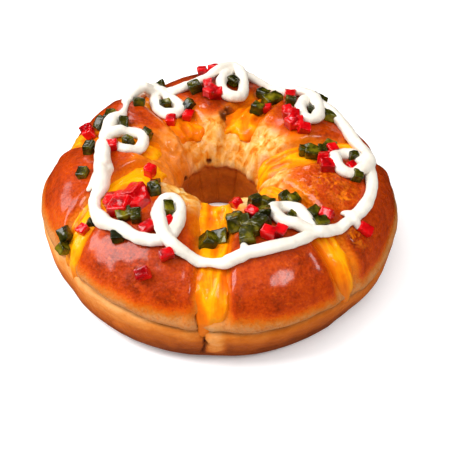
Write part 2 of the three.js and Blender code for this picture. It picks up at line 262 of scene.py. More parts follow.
station_radius, station_height, out_radius, out_height, relief = section_stations()
stations = len(station_radius)
crown_station = SECTION[0][0]
hole_stations = SECTION[1][0]
waist_station = crown_station + hole_stations


def loaf_places(angle, station):
    """Places on the risen ring, by their angles and their stations on its section."""
    radius = station_radius[station]
    height = station_height[station]
    off_furrow = furrow_distance(angle, radius)
    furrow = FURROW_DEPTH * bell(off_furrow, FURROW_WIDTH, 4) + BUN_DIP * bell(off_furrow, BUN_SLOPE)
    out = relief[station] * (unevenness(angle) - furrow) - flatness(angle, radius, height)
    out += front_rim(angle, radius) * (station < waist_station)
    return places_on_ring(angle, radius + out_radius[station] * out, height + out_height[station] * out)


# A sheet of cells is wrapped round the section and round the ring, and its edges merge.
bread = sheet_of_cells(COLUMNS, stations)
bread.name = "bread"
sheet = vertex_rows(bread)
column = np.rint((sheet[:, 0] + 1) / 2 * COLUMNS).astype(int) % COLUMNS
station = np.rint((sheet[:, 1] + 1) / 2 * stations).astype(int) % stations
move_vertices(bread, loaf_places(column * 360 / COLUMNS, station))
bpy.ops.object.mode_set(mode="EDIT")
bpy.ops.mesh.select_all(action="SELECT")
bpy.ops.mesh.remove_doubles(threshold=0.001 * MM)
bpy.ops.mesh.normals_make_consistent(inside=False)
bpy.ops.object.mode_set(mode="OBJECT")

# The heights of the fold round the side and of the crust's lower edge, every 20 degrees.
FOLD_HEIGHTS = (26, 28, 30, 32, 33, 33, 32, 31, 30, 32, 34, 35, 37, 34, 32, 33, 25, 27)
CRUST_EDGES = (34, 35, 36, 38, 39, 39, 38, 37, 37, 38, 39, 40, 42, 43, 39, 37, 32, 35)


def round_the_ring(heights, angle):
    step = 360 / len(heights)
    return np.interp(angle, np.arange(len(heights) + 1) * step, [*heights, heights[0]]) * MM


# Where each place is: how far off a furrow, over the fold and over the crust's lower edge it
# is, and whether it is outside, in the hole or off the tray.
places = vertex_rows(bread)
radius = np.hypot(places[:, 0], places[:, 1])
height = places[:, 2]
angle = np.degrees(np.arctan2(places[:, 1], places[:, 0])) % 360
off_furrow = np.abs(furrow_distance(angle, radius))
wander = lumps(places, 20 * MM, 1)
edge_wander = layers(places, (2.2, 10, 6))
above_fold = height - round_the_ring(FOLD_HEIGHTS, angle) - 1.3 * MM * wander
above_edge = height - round_the_ring(CRUST_EDGES, angle) - layers(places, (1.5, 13, 4))
outside = rise(radius, 75, 90)
in_hole = 1 - rise(radius + layers(places, (4, 14, 5)), 42, 56)
off_tray = rise(height, 1, 10)

# The dough is lumpy, its back-left bun swells, and a roll lines each furrow. At the fold it
# draws in, and bulges over it and under it: how far, how high over it and over what reach.
BACK_LEFT_BUN = (137, 8)
BACK_LEFT_SWELL = 2.8 * MM
BACK_LEFT_RADIUS = 98 * MM
BACK_LEFT_WIDTH = 20 * MM
ROLL_RISE = 1.0 * MM
ROLL_WIDTH = 4 * MM
ROLL_OFF_FURROW = 15 * MM
FOLD_DEPTH = 2.6 * MM
FOLD_WIDTH = 1.5 * MM
FOLD_BULGES = ((1.6, 4.5, 3.5), (0.8, -7, 5))

out = layers(places, (1.0, 30, 2), (0.35, 9, 3))
back_left = facing(angle, *BACK_LEFT_BUN) * bell(radius - BACK_LEFT_RADIUS, BACK_LEFT_WIDTH)
out += BACK_LEFT_SWELL * back_left
off_roll = off_furrow + edge_wander - ROLL_OFF_FURROW
out += ROLL_RISE * bell(off_roll, ROLL_WIDTH) * rise(height, 30, 44)
fold_depth = FOLD_DEPTH * (0.75 + 0.5 * lumps(places, 25 * MM, 13))
out -= fold_depth * bell(above_fold, FOLD_WIDTH) * outside
for bulge, over, reach in FOLD_BULGES:
    out += bulge * MM * bell(above_fold - over * MM, reach * MM) * outside

# The torn crumb round the hole hangs over a baked wall, which has seams where buns met.
TEAR_DEPTH = 1.5 * MM
LIP_HEIGHT = 34 * MM
LIP_OVERHANG = 1.6 * MM
SEAM_ANGLES = (20, 65, 93, 120, 165, 250, 300)
SEAM_SIZE = 0.9 * MM

fibres = places * np.array([1, 1, 0.3])
ragged = TEAR_DEPTH * crests(fibres, 8 * MM, 7)
ragged += layers(fibres, (1.0, 9, 16))
ragged += layers(places, (0.3, 4, 8))
out += ragged * in_hole * rise(height, 30, 38)
over_lip = height - (LIP_HEIGHT + layers(places, (2.5, 12, 9), (1.5, 4, 17)))
under_lip = in_hole * (1 - rise(over_lip, -1.5, 1.5))
out -= LIP_OVERHANG * under_lip * rise(height, 6, 16)
seam = np.zeros(len(places))
for seam_angle in SEAM_ANGLES:
    away = radius * np.radians(turn_between(angle, seam_angle)) + 0.8 * MM * wander
    seam = np.maximum(seam, bell(away, SEAM_SIZE))
out -= SEAM_SIZE * seam * under_lip

# Under the custard at the front the side has split, with a torn lobe beside the split.
SPLIT_HEIGHTS = (12, 24, 34, 44)
SPLIT_ANGLES = (264.8, 266.2, 264.4, 262.8)
SPLIT_WIDTH = 0.9 * MM
SPLIT_DEPTH = 3.2 * MM
LOBE_ANGLE = 268.8
LOBE_HEIGHT = 26 * MM
LOBE_REACH = (6.5 * MM, 13 * MM)
LOBE_RISE = 2.2 * MM

split_angle = np.interp(height / MM, SPLIT_HEIGHTS, SPLIT_ANGLES)
off_split = radius * np.radians(angle - split_angle) + 0.6 * MM * wander
crack = bell(off_split, SPLIT_WIDTH) * rise(height, 8, 14) * (1 - rise(height, 42, 46)) * outside
off_lobe = radius * np.radians(angle - LOBE_ANGLE)
reach_across, reach_up = LOBE_REACH
lobe = bell(off_lobe, reach_across, 4) * bell(height - LOBE_HEIGHT, reach_up, 4) * outside
out += LOBE_RISE * lobe * (0.7 + 0.5 * lumps(places, 7 * MM, 14)) - SPLIT_DEPTH * crack

# Pits where blisters burst: each has an angle, a radius, a height and a size. A pit on the
# crown is as wide all the way down, so heights count for little there.
BURSTS = (
    (85, 51, 66, 4.6),
    (80, 54, 66, 4.2),
    (76, 51, 66, 4.4),
    (80, 48, 66, 3.0),
    (84, 56, 66, 2.6),
    (150, 29, 36, 2.2),
    (104, 31, 40, 2.4),
    (266, 124, 24, 2.2),
)
PIT_SHARE = 0.8
CROWN_PITS_FROM = 60

# The split is painted dark, as painted shade in it, and each pit is painted dark round its hollow.
dark_pits_and_shade = 0.8 * crack
pit_wander = layers(places, (1.2, 3, 10))
for pit_angle, pit_radius, pit_height, size in BURSTS:
    flattening = 0.2 if pit_height > CROWN_PITS_FROM else 1
    away = places - np.array(place_on_ring(pit_angle, pit_radius, pit_height))
    away = np.linalg.norm(away * [1, 1, flattening], axis=1) + pit_wander
    pit = PIT_SHARE * size * MM
    out -= pit * bell(away, pit, 3)
    dark_pits_and_shade = np.maximum(dark_pits_and_shade, bell(away, size * MM, 4))

# Where the washed skin wrinkled, by an angle, a radius, a height and a reach, and where it
# peeled into ridges, by an angle, a radius and a reach.
WRINKLES = (
    (330, 66, 66, 18),
    (343, 80, 70, 26),
    (325, 108, 58, 12),
    (292, 109, 59, 13),
    (235, 105, 63, 20),
    (258, 103, 57, 9),
    (200, 104, 61, 15),
)
PEELS = ((329, 68, 11), (337, 93, 8), (343, 76, 12), (325, 109, 7))
PEEL_RISE = 1.0 * MM

wrinkled = np.max([spot(places, place_on_ring(*row[:3]), row[3] * MM) for row in WRINKLES], axis=0)
flat_places = places[:, :2]
peeled = np.max([spot(flat_places, place_on_ring(*row[:2])[:2], row[2] * MM) for row in PEELS], axis=0)
out += PEEL_RISE * peeled * crests(places, 5 * MM, 18)
swell(bread, out * off_tray)

# How it baked. It browned from the crust's lower edge up, less by the furrows and near the hole, and most
# at the back. Low on the left it is painted paler, as painted light from the window lamp on that side.
DARKEST_SIDE = (88, 14)
PAINTED_LIT_SIDE = (205, 9)

browning_and_light = 0.8 * rise(above_edge, -3, 9)
browning_and_light *= 0.4 + 0.6 * rise(off_furrow + 0.4 * edge_wander, 9, 14)
browning_and_light *= 0.62 + 0.38 * rise(radius + layers(places, (8, 16, 11)), 44, 76)
browning_and_light += 0.4 * facing(angle, *DARKEST_SIDE) * rise(radius, 50, 60)
browning_and_light -= 0.4 * facing(angle, *PAINTED_LIT_SIDE) * rise(radius, 104, 116)

# It is crumb where it tore in the hole, less so on the left, and a little on the lobe. Under the
# fold, under the lip and at its foot it is plain baked dough.
SMOOTHER_SIDE = (163, 38)

torn = in_hole * rise(over_lip, -2, 2) * (1 - 0.65 * facing(angle, *SMOOTHER_SIDE))
torn = np.maximum(torn, lobe * 0.25)
plain = outside * (1 - rise(above_fold, -1.2, 0.8))
plain = np.maximum(plain, in_hole * (1 - rise(over_lip, -1, 7)))
plain = np.maximum(plain, 1 - rise(height, 2, 6))

# Custard soaked into it by the furrows, and ran down into the hole, most on the left.
RUNNY_SIDE = (165, 36)

runny = facing(angle, *RUNNY_SIDE)
soaked_reach = 11 * MM + 8 * MM * (1 - rise(radius, 50, 90))
soaked = bell((off_furrow + edge_wander) / soaked_reach, 1, 6) * rise(height, 34, 44)
drips = 0.3 * smoothstep(0.1, 0.6, lumps(places, 18 * MM, 12)) * rise(height, 40, 50)
drips = np.maximum(drips, runny * rise(height, 32, 40))
soaked = np.maximum(soaked, in_hole * drips)
glazed = in_hole * runny

# The fold's crease is painted dark here and there, as painted shade in it. The plain dough darkens down
# the side, more on the right than at the front left. In the hole it darkens under the lip, partly as the
# wall's own brown and partly as painted shade deep in the hole.
FOLD_LINE_WIDTH = 0.9 * MM
SIDE_HEIGHT = 26 * MM
DARK_SIDE = (308, 62, 4)
LIGHT_SIDE = (232, 26)

fold_line = bell(above_fold, FOLD_LINE_WIDTH) * outside * smoothstep(-0.4, 0.3, wander + 0.3)
dark_pits_and_shade = np.maximum(dark_pits_and_shade, 0.4 * fold_line)
darkness_and_shade = np.clip(-above_fold / SIDE_HEIGHT, 0, 1)
darkness_and_shade += 0.32 * facing(angle, *DARK_SIDE) - 0.12 * facing(angle, *LIGHT_SIDE)
# Deeper in the hole, under the lip, the wall is painted darker: partly its own baked brown, partly
# painted shade.
wall_tone_and_shade = in_hole * (0.72 - 0.4 * rise(over_lip, -14, 5))
darkness_and_shade = np.where(in_hole > 0.5, wall_tone_and_shade, np.clip(darkness_and_shade * (1 - 0.8 * lobe), 0, 1))

give_attribute(bread, "baking_and_light", [browning_and_light, torn, plain])
give_attribute(bread, "marks", [wrinkled, dark_pits_and_shade, soaked])
give_attribute(bread, "side", [darkness_and_shade, peeled, glazed])
smooth_shading(bread)


def colour(red, green, blue):
    """A colour from 0 to 255 as the eye sees it, as Blender's linear one."""
    channels = (red / 255, green / 255, blue / 255)
    return (*[c / 12.92 if c < 0.04 else ((c + 0.055) / 1.055) ** 2.4 for c in channels], 1)


class Nodes:
    """The nodes and links of a node tree, made one by one."""

    def __init__(self, tree):
        self.nodes = tree.nodes
        self.links = tree.links
        self.place = self.nodes.new("ShaderNodeTexCoord").outputs["Object"]

    def value(self, target, source):
        """A constant is set on the socket, and anything else is linked to it."""
        if isinstance(source, (int, float, tuple)):
            target.default_value = source
        else:
            self.links.new(source, target)

    def feed(self, shader, **sources):
        for key, source in sources.items():
            self.links.new(source, shader.inputs[key.replace("_", " ")])

    def stretched(self, scale):
        node = self.nodes.new("ShaderNodeMapping")
        node.inputs["Scale"].default_value = scale
        self.links.new(self.place, node.inputs["Vector"])
        return node.outputs["Vector"]

    def vector(self, *parts):
        node = self.nodes.new("ShaderNodeCombineXYZ")
        for target, source in zip(node.inputs, parts):
            self.value(target, source)
        return node.outputs["Vector"]

    def noise(self, size, detail=3, roughness=0.5, distortion=0.0, vector=None):
        node = self.nodes.new("ShaderNodeTexNoise")
        self.links.new(vector or self.place, node.inputs["Vector"])
        node.inputs["Scale"].default_value = 1 / size
        node.inputs["Detail"].default_value = detail
        node.inputs["Roughness"].default_value = roughness
        node.inputs["Distortion"].default_value = distortion
        return node.outputs["Fac"]

    def cells(self, size, smoothness):
        node = self.nodes.new("ShaderNodeTexVoronoi")
        node.feature = "SMOOTH_F1"
        self.links.new(self.place, node.inputs["Vector"])
        node.inputs["Scale"].default_value = 1 / size
        node.inputs["Smoothness"].default_value = smoothness
        return node.outputs["Distance"]

    def math(self, operation, *sources):
        node = self.nodes.new("ShaderNodeMath")
        node.operation = operation
        for target, source in zip(node.inputs, sources):
            self.value(target, source)
        return node.outputs[0]

    def times(self, first, second):
        return self.math("MULTIPLY", first, second)

    def plus(self, base, amount, extra):
        """The base, and that amount of the extra."""
        return self.math("MULTIPLY_ADD", extra, amount, base)

    def centred(self, mask):
        """A mask from 0 to 1, as a value from -0.5 to 0.5."""
        return self.math("SUBTRACT", mask, 0.5)

    def ramp(self, factor, *stops):
        """A ramp by stops, each a position and a colour or a shade of grey."""
        node = self.nodes.new("ShaderNodeValToRGB")
        elements = node.color_ramp.elements
        while len(elements) < len(stops):
            elements.new(0.5)
        for element, (at, shade) in zip(elements, stops):
            element.position = at
            element.color = shade if isinstance(shade, tuple) else (shade, shade, shade, 1)
        self.links.new(factor, node.inputs["Fac"])
        return node.outputs["Color"]

    def mix(self, factor, first, second):
        node = self.nodes.new("ShaderNodeMix")
        node.data_type = "RGBA"
        for socket, source in ((0, factor), (6, first), (7, second)):
            self.value(node.inputs[socket], source)
        return node.outputs[2]

    def attribute(self, name):
        """The three masks that a vertex colour carries."""
        node = self.nodes.new("ShaderNodeAttribute")
        node.attribute_name = name
        split = self.nodes.new("ShaderNodeSeparateColor")
        self.links.new(node.outputs["Color"], split.inputs["Color"])
        return split.outputs[:3]

    def bump(self, height, distance, strength=1.0, normal=None):
        node = self.nodes.new("ShaderNodeBump")
        self.value(node.inputs["Strength"], strength)
        node.inputs["Distance"].default_value = distance
        self.links.new(height, node.inputs["Height"])
        if normal is not None:
            self.links.new(normal, node.inputs["Normal"])
        return node.outputs["Normal"]


def new_material(name, **values):
    """A material, its nodes and its shader, with these constants on the shader."""
    material = bpy.data.materials.new(name)
    material.use_nodes = True
    shader = material.node_tree.nodes["Principled BSDF"]
    shader.inputs["Subsurface Scale"].default_value = 2 * MM
    for key, value in values.items():
        shader.inputs[key.replace("_", " ")].default_value = value
    return material, Nodes(material.node_tree), shader


# The dough's colours: the washed top from unbrowned to dark, the crumb from its depths to its
# fibres, the plain dough from pale to dark, and what lies over them.
TOP_SHADES = (
    (0.0, colour(190, 124, 68)),
    (0.2, colour(190, 106, 34)),
    (0.4, colour(198, 90, 6)),
    (0.6, colour(196, 70, 0)),
    (0.8, colour(170, 51, 0)),
    (1.0, colour(122, 34, 0)),
)
CRUMB_SHADES = (
    (0.34, colour(190, 98, 14)),
    (0.42, colour(216, 150, 54)),
    (0.52, colour(224, 184, 104)),
    (0.64, colour(236, 212, 152)),
)
PLAIN_SHADES = (
    (0.0, colour(222, 154, 88)),
    (0.16, colour(212, 128, 52)),
    (0.42, colour(192, 98, 20)),
    (0.7, colour(166, 76, 8)),
    (1.0, colour(126, 52, 3)),
)
FRECKLE = colour(140, 34, 1)
FLAKE = colour(228, 98, 4)
SHRED = colour(242, 128, 8)
STAIN = colour(236, 128, 8)
SOAKED_CRUMB = colour(230, 124, 6)
GLAZE = colour(226, 108, 2)
PIT_AND_SHADE_BROWN = colour(70, 22, 6)

material, crust, shader = new_material(
    "egg_washed_crust", Coat_Roughness=0.14, Specular_IOR_Level=0.08
)
# The first mask is the browning, with painted light low on the left.
browned_and_lit, ripped, unwashed = crust.attribute("baking_and_light")
wrinkled, dark_pits_and_shade, soaked = crust.attribute("marks")
# The first side mask darkens the plain dough, and carries painted shade deep in the hole.
dark, peeled, glazed = crust.attribute("side")

# The washed top browned in patches, with freckles, flakes, peeled shreds and custard stains.
baked = crust.plus(browned_and_lit, 0.6, crust.centred(crust.noise(24 * MM, 4, 0.6)))
baked = crust.plus(baked, 0.5, crust.centred(crust.noise(5 * MM, 4, 0.65)))
baked = crust.plus(baked, 0.45, crust.centred(crust.noise(1.8 * MM, 3, 0.6)))
freckles = crust.ramp(crust.noise(2.2 * MM, 4, 0.7), (0.54, 0.0), (0.64, 1.0))
flakes = crust.ramp(crust.noise(3 * MM, 4, 0.7, 0.3), (0.56, 0.0), (0.68, 1.0))
shreds = crust.ramp(crust.noise(6 * MM, 3, 0.55, 0.8), (0.46, 0.0), (0.62, 0.75))
blotches = crust.ramp(crust.noise(9 * MM, 4, 0.6), (0.4, 0.25), (0.62, 0.95))
top_colour = crust.mix(crust.times(freckles, 0.3), crust.ramp(baked, *TOP_SHADES), FRECKLE)
top_colour = crust.mix(crust.times(flakes, crust.plus(0.32, 0.1, wrinkled)), top_colour, FLAKE)
top_colour = crust.mix(crust.times(peeled, shreds), top_colour, SHRED)
top_colour = crust.mix(crust.times(soaked, blotches), top_colour, STAIN)

# The crumb has upright fibres, and the plain dough has streaks that run round the ring.
fibres = crust.noise(6 * MM, 4, 0.55, 0.6, crust.stretched((1, 1, 0.35)))
crumb_colour = crust.mix(crust.times(soaked, 0.36), crust.ramp(fibres, *CRUMB_SHADES), SOAKED_CRUMB)
streaks = crust.centred(crust.noise(14 * MM, 5, 0.6, 0.5, crust.stretched((1, 1, 2.2))))
plain_colour = crust.ramp(crust.plus(dark, 0.7, streaks), *PLAIN_SHADES)

surface = crust.mix(ripped, top_colour, crumb_colour)
surface = crust.mix(crust.times(glazed, 0.55), surface, GLAZE)
surface = crust.mix(unwashed, surface, plain_colour)
# Dark pits, with painted shade in the split and in the fold's crease.
surface = crust.mix(crust.times(dark_pits_and_shade, 0.95), surface, PIT_AND_SHADE_BROWN)

# The skin has pores, blisters that stand out where it wrinkled, and broad dents.
skin = crust.bump(crust.noise(1.1 * MM, 3, 0.65), 0.55 * MM, crust.plus(0.6, 0.4, wrinkled))
skin = crust.bump(crust.cells(2.4 * MM, 0.7), 1.4 * MM, crust.plus(0.15, 0.85, wrinkled), skin)
skin = crust.bump(crust.noise(5 * MM, 4, 0.6), 1.2 * MM, 0.7, skin)
skin = crust.bump(fibres, 1.2 * MM, crust.times(ripped, 0.7), skin)

# Only the washed top is glossy.
gloss = crust.ramp(crust.noise(7 * MM, 4, 0.6), (0.35, 0.26), (0.7, 0.42))
roughness = crust.plus(gloss, 0.3, crust.math("MAXIMUM", ripped, unwashed))
wash = crust.plus(crust.plus(0.6, -0.5, unwashed), -0.4, ripped)
crust.feed(shader, Base_Color=surface, Coat_Weight=wash, Roughness=roughness, Normal=skin)
bread.data.materials.append(material)
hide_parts("brioche_ring")
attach(bread, "root")

# ---- Custard --------------------------------------------------------------------------------
# Egg custard piped into the snipped furrows before baking. It sets in long soft folds, bright
# yellow on their backs and orange between them, and thins out to nothing at its edges.

ALONG_CELLS = 130
ACROSS_CELLS = 44
STATION_STEP = 1.3 * MM
OVERWIDTH = 1.3
FOLD_STRETCH = 0.3
BAND_SHIFT = 0.1
RIDGE_HEIGHT = 1.5 * MM
SWELL_HEIGHT = 1.8 * MM
CREEP_SHARE = 0.24
FARTHEST_CREEP = 1.3
EDGE_DROP = 5.5 * MM
END_DROP = 3.0 * MM
CUSTARD_WALL = 2.5 * MM

# Each band, in the order of the furrows: the shares of the hole's wall and of the side that it covers,
# its depth, its half widths at the hole, on the crown and at the side, and how much paler it is painted
# than the others, as painted light that evens out how differently the lamps light the bands.
BANDS = (
    (0.95, 0.8, 4.4, (12, 12, 11), 0.0),
    (0.58, 0.8, 5.4, (18, 12, 11), -0.15),
    (0.6, 0.8, 4.8, (15, 11, 11), -0.25),
    (0.45, 0.92, 3.8, (11, 11, 12), 0.0),
    (0.6, 1.0, 4.6, (12, 15, 11), 0.3),
    (1.0, 0.97, 4.4, (17, 13, 9.5), 0.06),
    (0.9, 1.0, 4.6, (13, 9.5, 7), 0.0),
)


def custard_band(number, furrow, hole_end, belly_end, fill, half_widths, painted_paleness):
    """A sheet over one furrow, wider than what shows, so that its edges lie inside the bread."""
    band = sheet_of_cells(ALONG_CELLS, ACROSS_CELLS)
    grid = vertex_rows(band)
    along, across = grid[:, 0], grid[:, 1]
    reach = np.where(along < 0, hole_end * hole_stations, belly_end * crown_station)
    station = crown_station - along * reach
    profiles = (station_radius, station_height, out_radius, out_height, relief)
    section = [np.interp(station, np.arange(stations), profile) for profile in profiles]
    radius, height, out_r, out_h, fullness = section
    middle = furrow_middle(furrow, radius)
    half_width = np.interp(along, [-1, 0, 1], half_widths) * MM * OVERWIDTH
    sideways = across * half_width

    # The folds run along the furrow, no two bands fold alike, and the ends creep further in some
    # places than in others.
    lengthways = along * reach * STATION_STEP * FOLD_STRETCH
    flow = np.stack([sideways, lengthways, np.full(len(along), number * BAND_SHIFT)], axis=1)
    ridges = crests(flow, 7 * MM, 20)
    creep = np.abs(along) * (1 + CREEP_SHARE * lumps(flow * [1.0, 0.3, 1], 8 * MM, 24))
    creep = np.clip(creep, 0, FARTHEST_CREEP)
    folds = RIDGE_HEIGHT * (ridges - 0.4) + SWELL_HEIGHT * lumps(flow, 11 * MM, 21)
    folds = folds * (1 - 0.7 * np.clip(creep, 0, 1) ** 4)
    depth = fill * MM * (1 - 1.1 * creep**6) + folds
    depth -= EDGE_DROP * np.abs(across) ** 4 + END_DROP * creep**8

    bed = fullness * (unevenness(middle) - FURROW_DEPTH - BUN_DIP) - flatness(middle, radius, height)
    out = bed + front_rim(middle, radius) + depth
    angle = middle + np.degrees(sideways / radius)
    move_vertices(band, places_on_ring(angle, radius + out_r * out, height + out_h * out))
    across_mask = np.clip(across / 2 + 0.5, 0, 1)
    along_mask = np.clip(along / 2 + 0.5, 0, 1)
    # The third mask is the folds' ridges together with the band's painted paleness, which is painted
    # light.
    give_attribute(band, "folds", [across_mask, along_mask, ridges / 2 + 0.5 + painted_paleness])
    return band


def join_into(piece, others):
    bpy.ops.object.select_all(action="DESELECT")
    for other in others:
        other.select_set(True)
    piece.select_set(True)
    bpy.context.view_layer.objects.active = piece
    bpy.ops.object.join()


def apply_modifier(piece, kind, **values):
    modifier = piece.modifiers.new(kind.title(), kind)
    for key, value in values.items():
        setattr(modifier, key, value)
    bpy.context.view_layer.objects.active = piece
    bpy.ops.object.modifier_apply(modifier=modifier.name)


bands = zip(range(1, len(BANDS) + 1), FURROWS, BANDS)
custard, *others = [custard_band(number, furrow, *row) for number, furrow, row in bands]
custard.name = "custard"
join_into(custard, others)
swell(custard, layers(vertex_rows(custard), (0.7, 7, 22), (0.25, 3, 23)))
apply_modifier(custard, "SOLIDIFY", thickness=CUSTARD_WALL, offset=-1)
smooth_shading(custard)

YOLK_SHADES = (
    (0.1, colour(182, 72, 1)),
    (0.36, colour(214, 98, 1)),
    (0.6, colour(232, 116, 0)),
    (0.8, colour(240, 138, 0)),
    (1.0, colour(244, 162, 2)),
)
THIN_EDGE = colour(214, 92, 2)
THIN_END = colour(206, 104, 18)

material, egg, shader = new_material(
    "baked_custard",
    Subsurface_Weight=0.1,
    Subsurface_Radius=(1, 0.45, 0.05),
    Coat_Roughness=0.14,
    Coat_Weight=0.3,
    Roughness=0.4,
    Specular_IOR_Level=0.06,
)
# The third mask is the folds' ridges with each band's painted light.
across, along, ridge_and_painted_light = egg.attribute("folds")
flow = egg.vector(egg.times(across, 34 * MM), egg.times(along, 22 * MM))
strands = egg.noise(4.5 * MM, 4, 0.55, 0.8, flow)
strand_shade = egg.centred(strands)
shade = egg.plus(ridge_and_painted_light, 1.0, strand_shade)
shade = egg.plus(shade, 1.4, egg.centred(egg.noise(13 * MM, 4, 0.55)))
edge = egg.plus(egg.math("ABSOLUTE", egg.centred(across)), 0.3, strand_shade)
end = egg.plus(along, 0.2, strand_shade)
yolk = egg.ramp(shade, *YOLK_SHADES)
yolk = egg.mix(egg.ramp(edge, (0.22, 0.0), (0.38, 0.9)), yolk, THIN_EDGE)
yolk = egg.mix(egg.ramp(end, (0.84, 0.0), (0.98, 0.85)), yolk, THIN_END)
wrinkle = egg.bump(strands, 0.8 * MM, 0.5)
wrinkle = egg.bump(egg.noise(1.5 * MM, 3, 0.5), 0.25 * MM, 0.6, wrinkle)
egg.feed(shader, Base_Color=yolk, Normal=wrinkle)
custard.data.materials.append(material)
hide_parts(*sorted(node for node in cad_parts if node.startswith("custard_band")))
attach(custard, "root")

# ---- Icing line -----------------------------------------------------------------------------
# Stiff white sugar icing piped from a bag with a round nozzle, in one closed line with loops.
# It has slumped a little and run together where it crosses itself. A tail hangs from its left.

ICING_VOXEL = 0.8 * MM
ICING_SWELL = 0.75 * MM
PINCH = 1.1 * MM
THINNING = 0.9 * MM
THICKENING = 0.7 * MM

# Where the line is pinched, thinner and thicker, by an angle, a radius and a reach.
PINCHES = ((327.5, 101, 5), (204, 92, 5), (96, 89, 5), (267, 92, 9))
THIN_STRETCHES = ((267, 92, 14), (141, 89, 8))
THICK_LOOPS = ((39, 88, 15), (0, 93, 16), (315, 68, 15), (240, 74, 14), (165, 72, 10))


def copy_of(nodes, name):
    """One new piece from copies of CAD nodes, with its doubles merged."""
    bpy.ops.object.select_all(action="DESELECT")
    for node in nodes:
        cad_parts[node].select_set(True)
    bpy.context.view_layer.objects.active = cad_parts[nodes[0]]
    bpy.ops.object.duplicate()
    piece = bpy.context.object
    if len(nodes) > 1:
        bpy.ops.object.join()
    piece.name = name
    piece.parent = None
    for key in list(piece.keys()):
        del piece[key]
    piece.data.materials.clear()
    bpy.ops.object.mode_set(mode="EDIT")
    bpy.ops.mesh.select_all(action="SELECT")
    bpy.ops.mesh.remove_doubles(threshold=0.01 * MM)
    bpy.ops.object.mode_set(mode="OBJECT")
    return piece


def on_the_bread(angle, radius):
    """The bread's surface straight below a place, and the surface's normal there."""
    above = place_on_ring(angle, radius, 150)
    _, location, normal, _ = bread.ray_cast(above, Vector((0, 0, -1)))
    return location, normal


def ball(location, size):
    bpy.ops.object.select_all(action="DESELECT")
    bpy.ops.mesh.primitive_uv_sphere_add(segments=12, ring_count=8, radius=size * MM, location=location)
    bpy.ops.object.transform_apply()
    return bpy.context.object


def between(stops):
    """Each stop but the last, and four places on the way to the next one."""
    for start, end in zip(stops, stops[1:]):
        for share in np.arange(0, 1, 0.2):
            yield (np.array(start) * (1 - share) + np.array(end) * share).tolist()


def balls_by_way_of(*stops):
    """Balls of icing in a row, by stops of an angle, a radius, a height and a size."""
    return [ball(place_on_ring(*stop[:3]), stop[3]) for stop in between(stops)]


def dabs(*stops, lift=0.5):
    """Balls of icing in a row on the bread, by stops of an angle, a radius and a size."""
    balls = []
    for angle, radius, size in between(stops):
        location, normal = on_the_bread(angle, radius)
        balls.append(ball(location + normal * size * lift * MM, size))
    return balls


def near_spots(places, spots):
    """A mask for each spot on the bread, by its angle, radius and reach."""
    for angle, radius, reach in spots:
        location, _ = on_the_bread(angle, radius)
        yield spot(places, location, reach * MM, 4)


# The bag stopped at thick dabs and pulled out peaks and strands, and at the back left the line
# stands up in an arch over the dice.
icing = copy_of(["icing_line"], "icing")
thick = dabs((174, 80, 3.6), (181, 80, 4.6), (188, 80, 5.4), (193, 83, 4.2), (197, 86, 3.2), lift=0.8)
corner = dabs((213, 93, 3.6), (218, 95, 4.6), (222, 94, 3.8), lift=0.8)
arch = balls_by_way_of(
    (134, 95, 66, 2.4),
    (132.5, 95, 71, 3.2),
    (130, 95, 73, 3.6),
    (126.5, 95, 72.5, 3.7),
    (124, 95, 68, 3.6),
    (122.5, 95, 62, 3.5),
    (121, 94, 58, 3.2),
)
blob = dabs((149, 84, 3.0), (153, 87, 4.6), (157, 88, 4.4), (162, 86, 3.4), lift=0.8)
tail = dabs((192, 84, 3.0), (195, 88, 2.2), (197, 91, 1.6), (198, 94, 1.1))
peak = dabs((281, 88, 2.6), (281, 84, 2.2), (281, 82, 1.4), lift=1.3)
near_point = dabs((329, 101, 3.2), (328.5, 98, 2.2), (328, 95, 0.8), lift=1.0)
far_point = dabs((328, 103, 3.2), (328, 106, 2.2), (327.5, 109, 0.8), lift=1.0)
strand = dabs((133, 101, 1.6), (140, 90, 1.3), (146, 83, 1.4), (151, 80, 1.6), lift=1.0)
join_into(icing, [*thick, *corner, *arch, *blob, *tail, *peak, *near_point, *far_point, *strand])
apply_modifier(icing, "REMESH", mode="VOXEL", voxel_size=ICING_VOXEL)
apply_modifier(icing, "SMOOTH", factor=0.5, iterations=12)

places = vertex_rows(icing)
out = ICING_SWELL + layers(places, (1.0, 12, 30), (0.3, 4, 31))
wobble = np.abs(lumps(places, 3 * MM, 32)) + 0.4
out -= PINCH * wobble * sum(near_spots(places, PINCHES))
out -= THINNING * sum(near_spots(places, THIN_STRETCHES))
out += THICKENING * sum(near_spots(places, THICK_LOOPS))
swell(icing, out)
smooth_shading(icing)

ICING_SHADES = ((0.35, colour(222, 213, 198)), (0.65, colour(234, 227, 214)))

material, sugar, shader = new_material(
    "white_icing",
    Subsurface_Weight=0.15,
    Subsurface_Radius=(1, 0.8, 0.6),
    Coat_Roughness=0.3,
    Coat_Weight=0.15,
    Roughness=0.45,
)
cream = sugar.ramp(sugar.noise(14 * MM), *ICING_SHADES)
grain = sugar.bump(sugar.noise(3.5 * MM, 2, 0.4), 0.5 * MM, 0.5)
sugar.feed(shader, Base_Color=cream, Normal=grain)
icing.data.materials.append(material)
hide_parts("icing_line")
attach(icing, "root")

# ---- Candied fruit --------------------------------------------------------------------------
# Cherry and citron boiled in syrup and cut into dice by hand. The dice are clear inside, the
# syrup has rounded their corners, and they lie at all angles, many stuck together.

DIE_VOXEL = 0.55 * MM
DIE_SWELL = 0.3 * MM
UNEVEN_CUT = 0.2
MOST_TILT = 0.35
LIFT_SHARE = 0.35

